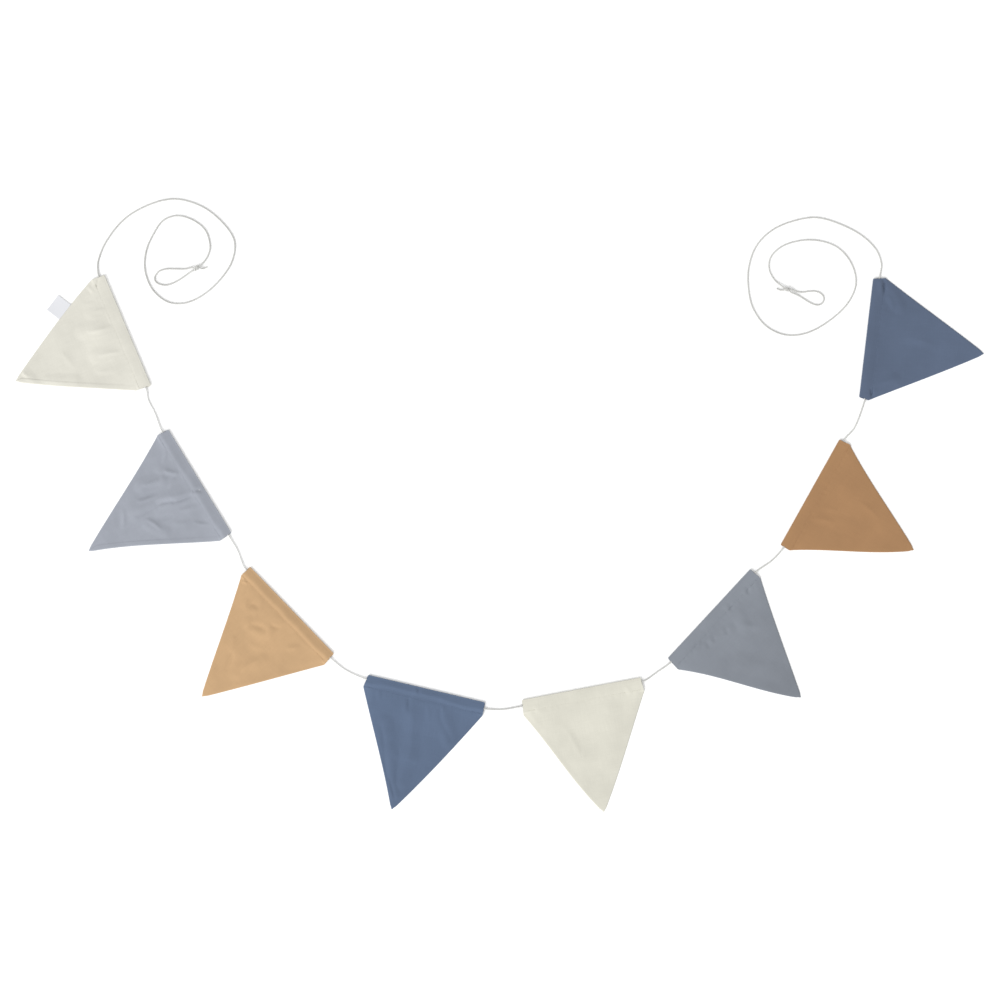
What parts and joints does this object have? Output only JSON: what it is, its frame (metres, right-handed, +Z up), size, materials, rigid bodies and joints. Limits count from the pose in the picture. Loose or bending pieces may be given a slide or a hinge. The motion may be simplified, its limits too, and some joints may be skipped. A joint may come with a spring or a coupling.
{
  "type": "fabric bunting",
  "caption": "Cotton bunting laid flat in a U: triangular doubled pennants in muted colours on a white string that runs through sewn casings, with a knotted loop at each end.",
  "frame": {"origin": "centre of the pennants' and the label's outline, on the surface that the bunting lies on", "axes": "+X across the U, to the right of the picture; +Y from the U's closed end to its open end; +Z up off the surface"},
  "size_m": [1.2555, 0.7958, 0.0057],
  "materials": {
    "cotton_cream": "matt plain-weave cotton, cream",
    "cotton_light_grey_blue": "matt plain-weave cotton, light grey-blue",
    "cotton_sand": "matt plain-weave cotton, sand",
    "cotton_blue": "matt plain-weave cotton, dusty blue",
    "cotton_mid_grey": "matt plain-weave cotton, mid grey",
    "cotton_caramel": "matt plain-weave cotton, caramel brown",
    "cotton_dark_grey_blue": "matt plain-weave cotton, dark grey-blue",
    "woven_tape": "white woven tape, bare",
    "cotton_string": "off-white twisted cotton string"
  },
  "bodies": {
    "root": {"pennant_1": "cotton_cream", "pennant_2": "cotton_light_grey_blue", "pennant_3": "cotton_sand", "pennant_4": "cotton_blue", "pennant_5": "cotton_cream", "pennant_6": "cotton_mid_grey", "pennant_7": "cotton_caramel", "pennant_8": "cotton_dark_grey_blue", "label": "woven_tape", "string": "cotton_string", "knot_left": "cotton_string", "knot_right": "cotton_string", "loop_left": "cotton_string", "loop_right": "cotton_string", "tail_left": "cotton_string", "tail_right": "cotton_string"}
  },
  "joints": []
}
